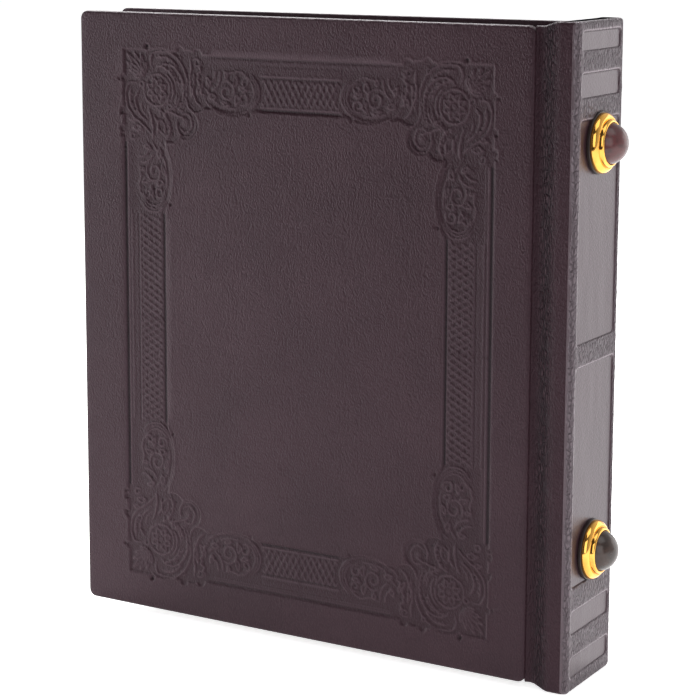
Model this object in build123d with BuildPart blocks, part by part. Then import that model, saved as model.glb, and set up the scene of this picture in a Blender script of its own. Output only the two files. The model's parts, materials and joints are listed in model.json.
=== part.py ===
"""Leather-bound stamp album: two hinged covers, a U-shaped spine, a four-ring mechanism and stock leaves.

Row frame: +Z up, the spine at +X with its face looking along +X, the front cover at -Y, the back cover at +Y.
Origin: middle of the bounding box in X (within 1 mm) and Y, at the height of the spine's foot.
"""
import math
import os

from build123d import *

os.makedirs("parts", exist_ok=True)

# Spine: a stiff U of board, covered in one piece of leather
spine_height = 272.0
mid_height = spine_height / 2
spine_face_x = 115.0
spine_half_width = 22.5
shoulder_edge_x = 107.0
spine_corner_radius = 2.4
leather = 0.9
spine_leather_thickness = 1.5
edge_leather = 0.6
board = 2.2
spine_board_thickness = 2.4
lining = 0.5
spine_board_outer_x = spine_face_x - spine_leather_thickness
spine_board_inner_x = spine_board_outer_x - spine_board_thickness
spine_inner_x = spine_board_inner_x - lining
shoulder_board_outer_y = spine_half_width - leather
shoulder_board_inner_y = shoulder_board_outer_y - board
shoulder_inner_y = shoulder_board_inner_y - lining
cap = 1.2

# Pressed panels of the spine, between five raised bands, as heights of their lower and upper edges
panel_half_width = 19.3
panel_depth = 0.7
panel_corner = 2.4
panels = [(5.6, 14.7), (23.8, 34.2), (43.4, 134.7), (143.4, 233.6), (241.5, 252.0), (260.0, 268.4)]

# Covers: boards wrapped in leather, leaning in by a small angle towards the fore-edge
cover_height = 268.0
cover_width = 224.0
cover_edge_x = 96.0
turn_in = 0.5
turn_in_width = 16.0
endpaper = 0.3
endpaper_margin = 4.0
cover_corner_radius = 3.5
cover_outer_rim = 1.2
cover_inner_rim = 0.5
front_lean = 1.7
back_lean = 1.0

# Cover hinge, in the groove between the cover and the shoulder
hinge_x = 101.5
hinge_strip_half_width = 4.8
hinge_strip_outer_y = 21.6
hinge_strip_thickness = 0.8
hinge_strip_height = 268.0
inner_hinge_half_width = 4.4
inner_hinge_outer_y = 20.7
inner_hinge_thickness = 0.6
inner_hinge_height = 260.0

# Ring mechanism
blade_x = 107.2
ring_radius = 13.0
wire_radius = 1.3
ring_centre_stand = 12.0
ring_centre_x = blade_x - ring_centre_stand
ring_heights = [mid_height + step for step in (-77.5, -32.5, 32.5, 77.5)]
ring_tip_gap = 0.3
ring_foot_turn = 48.0
ring_foot_bend = 1.5
blade_outer_y = 9.6
blade_inner_y = 0.3
blade_thickness = 1.0
blade_length = 197.0
blade_notch_radius = 3.7
rivet_y = (ring_radius * math.cos(math.radians(ring_foot_turn))
           - ring_foot_bend * (1 - math.cos(math.radians(ring_foot_turn))))
rivet_radius = 0.9
rivet_head_radius = 1.6
rivet_head_height = 0.6
plate_length = 208.0
plate_half_width = 11.0
plate_thickness = 0.9
plate_side_x = 105.9
plate_crown_x = 103.0
window_inner_y = 5.9
window_floor_x = 106.6
window_half_height = 2.2

# Levers at the ends of the mechanism
lever_pivot_x = 106.9
lever_pivot_offset = 101.5
lever_hub_radius = 1.9
lever_half_width = 3.5
toe_half_width = 1.4
pin_radius = 0.8
pin_clearance = 0.05
pin_recess = 0.2
pin_half_length = plate_half_width - pin_recess
lever_arm_outline = [(1.0, -1.2), (1.0, 6.8), (-8.9, 10.0), (-9.4, 8.6), (-0.9, 5.4), (-1.0, -1.2)]
lever_toe_outline = [(1.2, 0.0), (2.2, 0.0), (2.2, -4.2), (1.2, -4.2)]

# Two decorative bolts that hold the mechanism to the spine
bolt_heights = {"upper": 223.3, "lower": 56.2}
bolt_seat_x = spine_face_x - panel_depth
washer_radius = 12.6
washer_thickness = 1.4
flange_radius = 12.3
flange_edge = 0.7
flange_shoulder = (2.3, 11.7)
flange_top = (3.1, 10.5)
groove_floor = (2.6, 10.1)
bezel_radius = 9.8
bezel_lip_start = (3.7, 9.6)
bezel_lip_middle = (4.5, 9.2)
bezel_height = 4.7
cup_radius = 8.5
cup_floor = 1.5
stone_radius = 8.4
stone_girdle = 4.1
stone_height = 10.75
stem_radius = 2.0
stem_head_radius = 4.5
stem_head_height = 1.2
spacer_radius = 3.0
spacer_gap = 0.3
nut_radius = 4.0
nut_height = 2.2
stem_end_stand = 0.6

# Stock leaves
leaf_offsets = [1.0, 2.5, 4.0, 5.5]
leaf_width = 202.0
leaf_height = 250.0
leaf_thickness = 0.5
leaf_corner = 2.0
binding_margin = 8.5
slot_length = 7.9
slot_height = 6.2
slot_shift = 1.7
strip_rows = 6
strip_pitch = 40.0
strip_height = 37.0
strip_width = 182.0
strip_thickness = 0.2
strip_inset = 17.0

FRONT = -1
BACK = 1
SIDE_NAMES = {FRONT: "front", BACK: "back"}
LEANS = {FRONT: front_lean, BACK: back_lean}


def save(builder, name):
    """Label a finished piece and write it to its own file."""
    builder.part.label = name
    export_step(builder.part, f"parts/{name}.step")


def cover_plane(side, depth=0.0):
    """Plane of a cover's outer face: x runs from the hinge to the fore-edge, z points out of the album."""
    lean = math.radians(LEANS[side])
    along = (-math.cos(lean), -side * math.sin(lean), 0)
    outward = (-math.sin(lean), side * math.cos(lean), 0)
    start = (cover_edge_x, side * spine_half_width, mid_height)
    return Plane(origin=start, x_dir=along, z_dir=outward).offset(-depth)


def flat_box(x_from, x_to, y_from, y_to):
    """A rectangle given by its limits, in the sketch that is open."""
    with Locations(((x_from + x_to) / 2, (y_from + y_to) / 2)):
        Rectangle(abs(x_to - x_from), abs(y_to - y_from))


def round_bar(radius, x_from, x_to, y, z, mode=Mode.ADD):
    """A round bar along X, joined to the part that is open, or cut from it."""
    with Locations(Plane(origin=((x_from + x_to) / 2, y, z), z_dir=(1, 0, 0))):
        Cylinder(radius, x_to - x_from, mode=mode)


# ---- covers -------------------------------------------------------------------------------------------
def make_cover(side):
    """Board, leather and endpaper of one cover."""
    name = SIDE_NAMES[side]
    board_depth = leather + board
    leather_depth = board_depth + turn_in
    board_width = cover_width - edge_leather - leather
    board_height = cover_height - 2 * leather
    field_width = cover_width - turn_in_width - edge_leather
    field_height = cover_height - 2 * turn_in_width

    with BuildPart() as cover_board:
        with BuildSketch(cover_plane(side, board_depth)):
            with Locations((edge_leather + board_width / 2, 0)):
                RectangleRounded(board_width, board_height, cover_corner_radius - leather)
        extrude(amount=board)
    save(cover_board, f"{name}_board")

    with BuildPart() as cover_leather:
        with BuildSketch(cover_plane(side, leather_depth)):
            with Locations((cover_width / 2, 0)):
                RectangleRounded(cover_width, cover_height, cover_corner_radius)
        extrude(amount=leather_depth)
        outward = Axis((0, 0, 0), tuple(cover_plane(side).z_dir))
        fillet(cover_leather.faces().sort_by(outward)[-1].edges(), cover_outer_rim)
        fillet(cover_leather.faces().sort_by(outward)[0].edges(), cover_inner_rim)
        with BuildSketch(cover_plane(side, board_depth)):
            with Locations((edge_leather + board_width / 2, 0)):
                RectangleRounded(board_width, board_height, cover_corner_radius - leather)
        extrude(amount=board, mode=Mode.SUBTRACT)
        with BuildSketch(cover_plane(side, leather_depth)):
            with Locations((edge_leather + field_width / 2, 0)):
                Rectangle(field_width, field_height)
        extrude(amount=turn_in, mode=Mode.SUBTRACT)
    save(cover_leather, f"{name}_cover_leather")

    with BuildPart() as cover_paper:
        with BuildSketch(cover_plane(side, leather_depth)):
            with Locations((edge_leather + field_width / 2, 0)):
                Rectangle(field_width, field_height)
        extrude(amount=turn_in)
        with BuildSketch(cover_plane(side, leather_depth + endpaper)):
            with Locations((cover_width / 2, 0)):
                Rectangle(cover_width - 2 * endpaper_margin, cover_height - 2 * endpaper_margin)
        extrude(amount=endpaper)
    save(cover_paper, f"{name}_endpaper")


for side in (FRONT, BACK):
    make_cover(side)


# ---- spine --------------------------------------------------------------------------------------------
with BuildPart() as spine_board:
    with BuildSketch(Plane.XY.offset(cap)):
        flat_box(spine_board_inner_x, spine_board_outer_x, -shoulder_board_outer_y, shoulder_board_outer_y)
    extrude(amount=spine_height - 2 * cap)
    for height in bolt_heights.values():
        round_bar(stem_radius, spine_inner_x, spine_face_x, 0, height, Mode.SUBTRACT)
save(spine_board, "spine_board")

for side in (FRONT, BACK):
    with BuildPart() as shoulder_board:
        with BuildSketch(Plane.XY.offset(cap)):
            flat_box(shoulder_edge_x + edge_leather, spine_board_inner_x,
                     side * shoulder_board_inner_y, side * shoulder_board_outer_y)
        extrude(amount=spine_height - 2 * cap)
    save(shoulder_board, f"{SIDE_NAMES[side]}_shoulder_board")

with BuildPart() as spine_leather:
    with BuildSketch():
        with BuildLine():
            FilletPolyline((shoulder_edge_x, -spine_half_width), (spine_face_x, -spine_half_width),
                           (spine_face_x, spine_half_width), (shoulder_edge_x, spine_half_width),
                           radius=spine_corner_radius)
            Line((shoulder_edge_x, spine_half_width), (shoulder_edge_x, -spine_half_width))
        make_face()
        with Locations(((shoulder_edge_x + spine_board_inner_x) / 2, 0)):
            Rectangle(spine_board_inner_x - shoulder_edge_x, 2 * shoulder_board_inner_y, mode=Mode.SUBTRACT)
    extrude(amount=spine_height)
    with BuildSketch(Plane.XY.offset(cap)):
        flat_box(spine_board_inner_x, spine_board_outer_x, -shoulder_board_outer_y, shoulder_board_outer_y)
        for side in (FRONT, BACK):
            flat_box(shoulder_edge_x + edge_leather, spine_board_inner_x,
                     side * shoulder_board_inner_y, side * shoulder_board_outer_y)
    extrude(amount=spine_height - 2 * cap, mode=Mode.SUBTRACT)
    with BuildSketch(Plane(origin=(spine_face_x, 0, mid_height), x_dir=(0, 1, 0), z_dir=(1, 0, 0))):
        for low, high in panels:
            with Locations((0, (low + high) / 2 - mid_height)):
                RectangleRounded(2 * panel_half_width, high - low, panel_corner)
        with Locations([(0, height - mid_height) for height in bolt_heights.values()]):
            Circle(washer_radius)
    extrude(amount=-panel_depth, mode=Mode.SUBTRACT)
    for height in bolt_heights.values():
        round_bar(stem_radius, spine_board_outer_x, spine_face_x, 0, height, Mode.SUBTRACT)
save(spine_leather, "spine_leather")

with BuildPart() as spine_lining:
    with BuildSketch(Plane.XY.offset(endpaper_margin)):
        flat_box(shoulder_edge_x + edge_leather, spine_board_inner_x, -shoulder_board_inner_y,
                 shoulder_board_inner_y)
        with Locations(((shoulder_edge_x + spine_inner_x) / 2, 0)):
            Rectangle(spine_inner_x - shoulder_edge_x, 2 * shoulder_inner_y, mode=Mode.SUBTRACT)
    extrude(amount=spine_height - 2 * endpaper_margin)
    for height in bolt_heights.values():
        round_bar(stem_radius, spine_inner_x, spine_board_inner_x, 0, height, Mode.SUBTRACT)
save(spine_lining, "spine_lining")

for side in (FRONT, BACK):
    with BuildPart() as hinge_leather:
        with BuildSketch(Plane.XY.offset(mid_height - hinge_strip_height / 2)):
            flat_box(hinge_x - hinge_strip_half_width, hinge_x + hinge_strip_half_width,
                     side * hinge_strip_outer_y, side * (hinge_strip_outer_y - hinge_strip_thickness))
        extrude(amount=hinge_strip_height)
    save(hinge_leather, f"{SIDE_NAMES[side]}_hinge_leather")

    with BuildPart() as inner_hinge:
        with BuildSketch(Plane.XY.offset(mid_height - inner_hinge_height / 2)):
            flat_box(hinge_x - inner_hinge_half_width, hinge_x + inner_hinge_half_width,
                     side * inner_hinge_outer_y, side * (inner_hinge_outer_y - inner_hinge_thickness))
        extrude(amount=inner_hinge_height)
    save(inner_hinge, f"{SIDE_NAMES[side]}_inner_hinge")


# ---- ring mechanism -----------------------------------------------------------------------------------
def arch_section(half_width, crown_x, base_x):
    """Section of the arched plate, from its base on the lining to its crown."""
    with BuildSketch() as section:
        with BuildLine():
            Polyline((plate_side_x, half_width), (base_x, half_width), (base_x, -half_width),
                     (plate_side_x, -half_width))
            ThreePointArc((plate_side_x, -half_width), (crown_x, 0), (plate_side_x, half_width))
        make_face()
    return section.sketch


pivot_heights = [mid_height - lever_pivot_offset, mid_height + lever_pivot_offset]

with BuildPart() as lever_pins:
    for height in pivot_heights:
        with BuildSketch(Plane(origin=(lever_pivot_x, -pin_half_length, height), z_dir=(0, 1, 0))):
            Circle(pin_radius)
        extrude(amount=2 * pin_half_length)
save(lever_pins, "lever_pins")

with BuildPart() as ring_plate:
    with BuildSketch(Plane.XY.offset(mid_height - plate_length / 2)):
        add(arch_section(plate_half_width, plate_crown_x, spine_inner_x))
    extrude(amount=plate_length)
    with BuildSketch(Plane.XY.offset(mid_height - plate_length / 2)):
        add(arch_section(plate_half_width - plate_thickness, plate_crown_x + plate_thickness, spine_face_x))
    extrude(amount=plate_length, mode=Mode.SUBTRACT)
    for height in ring_heights:
        with BuildSketch(Plane.XY.offset(height - window_half_height)):
            for side in (FRONT, BACK):
                flat_box(plate_crown_x, window_floor_x, side * window_inner_y, side * plate_half_width)
        extrude(amount=2 * window_half_height, mode=Mode.SUBTRACT)
    for height in bolt_heights.values():
        round_bar(stem_radius, plate_crown_x, plate_side_x, 0, height, Mode.SUBTRACT)
    add(lever_pins.part, mode=Mode.SUBTRACT)
save(ring_plate, "ring_plate")


def make_ring_side(side):
    """Blade and the four half rings that stand on it."""
    name = SIDE_NAMES[side]
    blade_top_x = blade_x - blade_thickness / 2
    blade_under_x = blade_x + blade_thickness / 2
    tip_trim = math.degrees(ring_tip_gap / 2 / ring_radius)
    tip_angle = side * (180 - tip_trim)
    foot_angle = side * (90 - ring_foot_turn)

    with BuildPart() as half_rings:
        for height in ring_heights:
            with BuildLine(Plane.XY.offset(height)) as bow:
                half_circle = CenterArc((ring_centre_x, 0), ring_radius, tip_angle, foot_angle - tip_angle)
                bend = JernArc(half_circle @ 1, half_circle % 1, ring_foot_bend, side * ring_foot_turn)
                Line(bend @ 1, (blade_top_x, (bend @ 1).Y))
            with BuildSketch(Plane(origin=bow.line @ 0, z_dir=bow.line % 0)):
                Circle(wire_radius)
            sweep(path=bow.line)
            round_bar(rivet_radius, blade_top_x, blade_under_x, side * rivet_y, height)
            round_bar(rivet_head_radius, blade_under_x, blade_under_x + rivet_head_height, side * rivet_y,
                      height)
    save(half_rings, f"{name}_half_rings")

    with BuildPart() as blade:
        with BuildSketch(Plane(origin=(blade_top_x, 0, mid_height), x_dir=(0, 1, 0), z_dir=(1, 0, 0))):
            with Locations((side * (blade_outer_y + blade_inner_y) / 2, 0)):
                Rectangle(blade_outer_y - blade_inner_y, blade_length)
            with Locations([(0, height - mid_height) for height in bolt_heights.values()]):
                Circle(blade_notch_radius, mode=Mode.SUBTRACT)
            with Locations([(side * rivet_y, height - mid_height) for height in ring_heights]):
                Circle(rivet_radius, mode=Mode.SUBTRACT)
        extrude(amount=blade_thickness)
    save(blade, f"{name}_blade")


for side in (FRONT, BACK):
    make_ring_side(side)


def make_lever(up, name):
    """Thumb lever at one end of the mechanism; up is 1 at the head and -1 at the tail."""
    pivot_height = mid_height + up * lever_pivot_offset
    with BuildPart() as lever:
        for outline, half_width in ((lever_arm_outline, lever_half_width),
                                    (lever_toe_outline, toe_half_width)):
            with BuildSketch(Plane(origin=(lever_pivot_x, -half_width, pivot_height), x_dir=(1, 0, 0),
                                   z_dir=(0, 1, 0))):
                Polygon(*[(x, -up * z) for x, z in outline], align=None)
            extrude(amount=2 * half_width)
        with BuildSketch(Plane(origin=(lever_pivot_x, -lever_half_width, pivot_height), z_dir=(0, 1, 0))):
            Circle(lever_hub_radius)
        extrude(amount=2 * lever_half_width)
        with BuildSketch(Plane(origin=(lever_pivot_x, -lever_half_width, pivot_height), z_dir=(0, 1, 0))):
            Circle(pin_radius + pin_clearance)
        extrude(amount=2 * lever_half_width, mode=Mode.SUBTRACT)
    save(lever, name)


make_lever(1, "upper_lever")
make_lever(-1, "lower_lever")

# ---- decorative bolts ---------------------------------------------------------------------------------
flange_x = bolt_seat_x + washer_thickness
stone_seat = cup_floor + stem_head_height
dome_centre = ((stone_height ** 2 - stone_girdle ** 2 - stone_radius ** 2)
               / (2 * (stone_height - stone_girdle)))
dome_radius = stone_height - dome_centre
dome_angle = math.degrees(math.asin(stone_radius / dome_radius))


def bolt_plane(height):
    """Plane through a bolt's axis: x runs out of the spine, y along the radius."""
    return Plane(origin=(flange_x, 0, height), x_dir=(1, 0, 0), z_dir=(0, -1, 0))


for name, height in bolt_heights.items():
    with BuildPart() as bezel:
        with BuildSketch(bolt_plane(height)):
            with BuildLine():
                Polyline((cup_floor, stem_radius), (0, stem_radius), (0, flange_radius),
                         (flange_edge, flange_radius))
                ThreePointArc((flange_edge, flange_radius), flange_shoulder, flange_top)
                Polyline(flange_top, groove_floor, (groove_floor[0], bezel_radius), bezel_lip_start)
                ThreePointArc(bezel_lip_start, bezel_lip_middle, (bezel_height, cup_radius))
                Polyline((bezel_height, cup_radius), (cup_floor, cup_radius), (cup_floor, stem_radius))
            make_face()
        revolve(axis=Axis((0, 0, height), (1, 0, 0)))
    save(bezel, f"{name}_bezel")

    with BuildPart() as stone:
        with BuildSketch(bolt_plane(height)):
            with BuildLine():
                dome = CenterArc((dome_centre, 0), dome_radius, 0, dome_angle)
                Polyline(dome @ 1, (stone_seat, stone_radius), (stone_seat, 0), dome @ 0)
            make_face()
        revolve(axis=Axis((0, 0, height), (1, 0, 0)))
    save(stone, f"{name}_stone")

with BuildPart() as bolt_washers:
    for height in bolt_heights.values():
        round_bar(washer_radius, bolt_seat_x, flange_x, 0, height)
        round_bar(stem_radius, bolt_seat_x, flange_x, 0, height, Mode.SUBTRACT)
save(bolt_washers, "bolt_washers")

with BuildPart() as bolt_stems:
    for height in bolt_heights.values():
        round_bar(stem_radius, plate_crown_x - nut_height - stem_end_stand, flange_x + cup_floor, 0, height)
        round_bar(stem_head_radius, flange_x + cup_floor, flange_x + cup_floor + stem_head_height, 0, height)
save(bolt_stems, "bolt_stems")

with BuildPart() as bolt_spacers:
    for height in bolt_heights.values():
        round_bar(spacer_radius, plate_crown_x + plate_thickness + spacer_gap, spine_inner_x, 0, height)
        round_bar(stem_radius, plate_crown_x, spine_inner_x, 0, height, Mode.SUBTRACT)
save(bolt_spacers, "bolt_spacers")

with BuildPart() as bolt_nuts:
    for height in bolt_heights.values():
        round_bar(nut_radius, plate_crown_x - nut_height, plate_crown_x, 0, height)
        round_bar(stem_radius, plate_crown_x - nut_height, plate_crown_x, 0, height, Mode.SUBTRACT)
save(bolt_nuts, "bolt_nuts")


# ---- leaves -------------------------------------------------------------------------------------------
def make_leaf(side, number, offset):
    """Card with four slotted holes, and its clear pocket strips on both faces."""
    name = f"{SIDE_NAMES[side]}_leaf_{number}"
    wire_x = ring_centre_x - math.sqrt(ring_radius ** 2 - offset ** 2)
    binding_x = wire_x + binding_margin
    leaf_plane = Plane(origin=(binding_x, side * offset, mid_height), x_dir=(-1, 0, 0), z_dir=(0, 1, 0))

    with BuildPart() as card:
        with BuildSketch(leaf_plane):
            with Locations((leaf_width / 2, 0)):
                RectangleRounded(leaf_width, leaf_height, leaf_corner)
            with Locations([(binding_margin + slot_shift, height - mid_height) for height in ring_heights]):
                SlotOverall(slot_length, slot_height, mode=Mode.SUBTRACT)
        extrude(amount=leaf_thickness / 2, both=True)
    save(card, f"{name}_card")

    with BuildPart() as strips:
        for face in (-1, 1):
            with BuildSketch(leaf_plane.offset(face * (leaf_thickness + strip_thickness) / 2)):
                with Locations((strip_inset + strip_width / 2, 0)):
                    with GridLocations(0, strip_pitch, 1, strip_rows):
                        Rectangle(strip_width, strip_height)
            extrude(amount=strip_thickness / 2, both=True)
    save(strips, f"{name}_strips")


for side in (FRONT, BACK):
    for index, offset in enumerate(leaf_offsets):
        make_leaf(side, index + 1, offset)
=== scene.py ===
"""Stamp album bound in dark leather, standing upright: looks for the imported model.

Sizes in the relief work are millimetres; every mesh is placed in metres.
"""

import json
import math

import bmesh
import bpy
import numpy as np
from mathutils import Matrix, Vector, noise


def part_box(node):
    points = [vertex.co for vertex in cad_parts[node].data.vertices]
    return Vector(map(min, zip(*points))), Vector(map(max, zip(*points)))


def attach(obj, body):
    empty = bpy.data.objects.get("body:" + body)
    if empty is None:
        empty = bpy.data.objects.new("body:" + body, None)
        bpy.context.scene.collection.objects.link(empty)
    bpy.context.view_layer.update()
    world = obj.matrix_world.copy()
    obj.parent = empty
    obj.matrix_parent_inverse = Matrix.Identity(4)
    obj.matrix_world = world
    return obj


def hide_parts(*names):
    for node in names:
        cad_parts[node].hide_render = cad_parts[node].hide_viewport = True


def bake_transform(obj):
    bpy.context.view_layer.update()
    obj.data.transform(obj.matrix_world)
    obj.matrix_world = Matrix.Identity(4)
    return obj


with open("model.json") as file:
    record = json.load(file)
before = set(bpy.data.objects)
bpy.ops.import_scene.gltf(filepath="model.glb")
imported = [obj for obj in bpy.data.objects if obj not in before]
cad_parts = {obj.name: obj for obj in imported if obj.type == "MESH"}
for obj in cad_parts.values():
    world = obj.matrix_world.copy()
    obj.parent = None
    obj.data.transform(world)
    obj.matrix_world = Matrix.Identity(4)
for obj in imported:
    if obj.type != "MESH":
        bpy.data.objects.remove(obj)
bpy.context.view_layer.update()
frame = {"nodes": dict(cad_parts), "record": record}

MM = 0.001
FRONT = -1
BACK = 1
SIDES = {"front": FRONT, "back": BACK}
LEANS = {"front": math.radians(1.7), "back": math.radians(1.0)}

ALBUM_MIDDLE = 136.0
COVER_EDGE_X = 96.0
COVER_FOOT = 2.0
COVER_WIDTH = 224.0
COVER_HEIGHT = 268.0
SPINE_HALF = 22.5
SPINE_FACE = 115.0
SPINE_TOP = 272.0
SHOULDER_EDGE = 107.0
BOLT_HEIGHTS = {"upper": 223.3, "lower": 56.2}


# ---- node helpers -------------------------------------------------------------------------------------
def new_finish(name):
    """A material with its node tree, its shader and its object coordinates."""
    material = bpy.data.materials.new(name)
    material.use_nodes = True
    tree = material.node_tree
    shader = tree.nodes["Principled BSDF"]
    place = tree.nodes.new("ShaderNodeTexCoord")
    return material, tree, shader, place.outputs["Object"]


def stretched(tree, place, scale, turn=(0, 0, 0)):
    """Object coordinates turned and stretched."""
    mapping = tree.nodes.new("ShaderNodeMapping")
    mapping.inputs["Scale"].default_value = scale
    mapping.inputs["Rotation"].default_value = turn
    tree.links.new(place, mapping.inputs["Vector"])
    return mapping.outputs["Vector"]


def cloud(tree, place, scale, detail=3.0, roughness=0.55, distortion=0.0):
    """Noise value."""
    made = tree.nodes.new("ShaderNodeTexNoise")
    made.inputs["Scale"].default_value = scale
    made.inputs["Detail"].default_value = detail
    made.inputs["Roughness"].default_value = roughness
    made.inputs["Distortion"].default_value = distortion
    tree.links.new(place, made.inputs["Vector"])
    return made.outputs["Fac"]


def cells(tree, place, scale, feature="SMOOTH_F1"):
    """Distance to the middle of the nearest cell, or to the nearest crease."""
    made = tree.nodes.new("ShaderNodeTexVoronoi")
    made.feature = feature
    made.inputs["Scale"].default_value = scale
    if feature == "SMOOTH_F1":
        made.inputs["Smoothness"].default_value = 0.6
    tree.links.new(place, made.inputs["Vector"])
    return made.outputs["Distance"]


def ramp(tree, value, stops):
    """Colour ramp through (position, colour) stops."""
    made = tree.nodes.new("ShaderNodeValToRGB")
    band = made.color_ramp
    while len(band.elements) < len(stops):
        band.elements.new(0.5)
    for element, (position, colour) in zip(band.elements, stops):
        element.position = position
        element.color = (*colour, 1.0)
    tree.links.new(value, made.inputs["Fac"])
    return made.outputs["Color"]


def spread(tree, value, low, high, from_low=0.0, from_high=1.0):
    """A value mapped to another range."""
    made = tree.nodes.new("ShaderNodeMapRange")
    made.inputs["From Min"].default_value = from_low
    made.inputs["From Max"].default_value = from_high
    made.inputs["To Min"].default_value = low
    made.inputs["To Max"].default_value = high
    tree.links.new(value, made.inputs["Value"])
    return made.outputs["Result"]


def sums(tree, operation, first, second):
    """Math on two values; either may be a plain number."""
    made = tree.nodes.new("ShaderNodeMath")
    made.operation = operation
    for socket, value in zip(made.inputs, (first, second)):
        if isinstance(value, (int, float)):
            socket.default_value = value
        else:
            tree.links.new(value, socket)
    return made.outputs["Value"]


def blended(tree, factor, first, second, kind="MIX"):
    """Two colours mixed; either may be a plain colour."""
    made = tree.nodes.new("ShaderNodeMix")
    made.data_type = "RGBA"
    made.blend_type = kind
    if isinstance(factor, float):
        made.inputs["Factor"].default_value = factor
    else:
        tree.links.new(factor, made.inputs["Factor"])
    for name, value in (("A", first), ("B", second)):
        socket = [s for s in made.inputs if s.name == name and s.type == "RGBA"][0]
        if isinstance(value, tuple):
            socket.default_value = (*value, 1.0)
        else:
            tree.links.new(value, socket)
    return [s for s in made.outputs if s.type == "RGBA"][0]


def raised(tree, shader, height, distance, strength=1.0, under=None):
    """Bump the shader's normal with a height; returns the bumped normal."""
    made = tree.nodes.new("ShaderNodeBump")
    made.inputs["Strength"].default_value = strength
    made.inputs["Distance"].default_value = distance
    tree.links.new(height, made.inputs["Height"])
    if under is not None:
        tree.links.new(under, made.inputs["Normal"])
    tree.links.new(made.outputs["Normal"], shader.inputs["Normal"])
    return made.outputs["Normal"]


def stored(tree, name):
    """A value kept on the mesh."""
    made = tree.nodes.new("ShaderNodeAttribute")
    made.attribute_name = name
    return made.outputs["Fac"]


# ---- finishes -----------------------------------------------------------------------------------------
LEATHER_DARK = (0.027, 0.0105, 0.0150)
LEATHER_MID = (0.034, 0.0140, 0.0195)
LEATHER_LIGHT = (0.042, 0.0190, 0.0255)
LEATHER_SHEEN = (1.0, 0.84, 0.95, 1.0)


def leather_finish(name, gloss, shine, pebble, crease, relief=False):
    """Dark aubergine calf: pebble grain, fine creases, polished surface; painted shade and highlight on the
    relief.
    """
    material, tree, shader, place = new_finish(name)
    tone = cloud(tree, place, 22.0, 4.0)
    colour = ramp(tree, tone, [(0.3, LEATHER_DARK), (0.55, LEATHER_MID), (0.8, LEATHER_LIGHT)])
    slanted = stretched(tree, place, (1.45, 1.0, 0.85), (0.0, -0.7, 0.0))
    pebbles = cells(tree, slanted, 1150.0)
    pores = cloud(tree, place, 3200.0, 2.0)
    folds = cloud(tree, place, 420.0, 4.0, 0.6, 0.8)
    creases = ramp(tree, pebbles, [(0.1, (1.0, 1.0, 1.0)), (0.75, (0.72, 0.70, 0.70))])
    colour = blended(tree, 1.0, colour, creases, "MULTIPLY")
    if relief:
        depth = stored(tree, "relief")
        # painted shade: the deeper the pressing, the darker the colour
        pit_shade = ramp(tree, depth, [(0.0, (0.22, 0.18, 0.19)), (0.25, (0.80, 0.78, 0.78)),
                                     (1.0, (1.0, 1.0, 1.0))])
        colour = blended(tree, 1.0, colour, pit_shade, "MULTIPLY")
        # painted highlight: ridge crests blended towards a lighter colour
        painted_highlight = stored(tree, "crest")
        colour = blended(tree, painted_highlight, colour, (0.075, 0.047, 0.057))
    tree.links.new(colour, shader.inputs["Base Color"])
    rough = spread(tree, cloud(tree, place, 160.0, 3.0), gloss - 0.05, gloss + 0.09)
    tree.links.new(rough, shader.inputs["Roughness"])
    shader.inputs["IOR"].default_value = 1.5
    shader.inputs["Specular Tint"].default_value = LEATHER_SHEEN
    shader.inputs["Specular IOR Level"].default_value = shine
    normal = raised(tree, shader, folds, 0.00025 * crease, 0.8)
    grain = sums(tree, "ADD", sums(tree, "MULTIPLY", pebbles, -1.0), sums(tree, "MULTIPLY", pores, 0.35))
    raised(tree, shader, grain, 0.00026 * pebble, 0.9, normal)
    return material


cover_leather = leather_finish("aubergine_leather", 0.46, 0.28, 0.9, 0.35, relief=True)
spine_calf = leather_finish("spine_leather", 0.42, 0.60, 0.30, 0.30)
groove_calf = leather_finish("groove_leather", 0.46, 0.24, 0.9, 1.2)


def metal_finish(name, tint, deep, gloss, brushed):
    """Polished plate with faint wear marks."""
    material, tree, shader, place = new_finish(name)
    tone = cloud(tree, place, 90.0, 4.0)
    tree.links.new(ramp(tree, tone, [(0.3, deep), (0.7, tint)]), shader.inputs["Base Color"])
    shader.inputs["Metallic"].default_value = 1.0
    marks = cloud(tree, stretched(tree, place, (1.0, 1.0, 0.12)), brushed, 3.0)
    tree.links.new(spread(tree, marks, gloss * 0.6, gloss * 1.5), shader.inputs["Roughness"])
    raised(tree, shader, marks, 0.000004, 0.5)
    return material


gilt = metal_finish("gilt_plate", (0.97, 0.54, 0.12), (0.86, 0.42, 0.08), 0.11, 900.0)
nickel = metal_finish("nickel_plate", (0.78, 0.77, 0.75), (0.66, 0.65, 0.64), 0.16, 1600.0)


def stone_finish(name, heart, body, rim):
    """Polished cabochon with a glow deep inside."""
    material, tree, shader, place = new_finish(name)
    swirl = cloud(tree, place, 130.0, 4.0, 0.5, 1.2)
    colour = ramp(tree, swirl, [(0.3, body), (0.6, heart), (0.8, rim)])
    tree.links.new(colour, shader.inputs["Base Color"])
    tree.links.new(spread(tree, swirl, 0.20, 0.30), shader.inputs["Roughness"])
    shader.inputs["IOR"].default_value = 1.55
    return material


garnet = stone_finish("garnet", (0.105, 0.026, 0.028), (0.055, 0.017, 0.019), (0.072, 0.030, 0.027))
smoky = stone_finish("smoky_quartz", (0.048, 0.025, 0.019), (0.022, 0.013, 0.011), (0.036, 0.023, 0.018))


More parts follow.
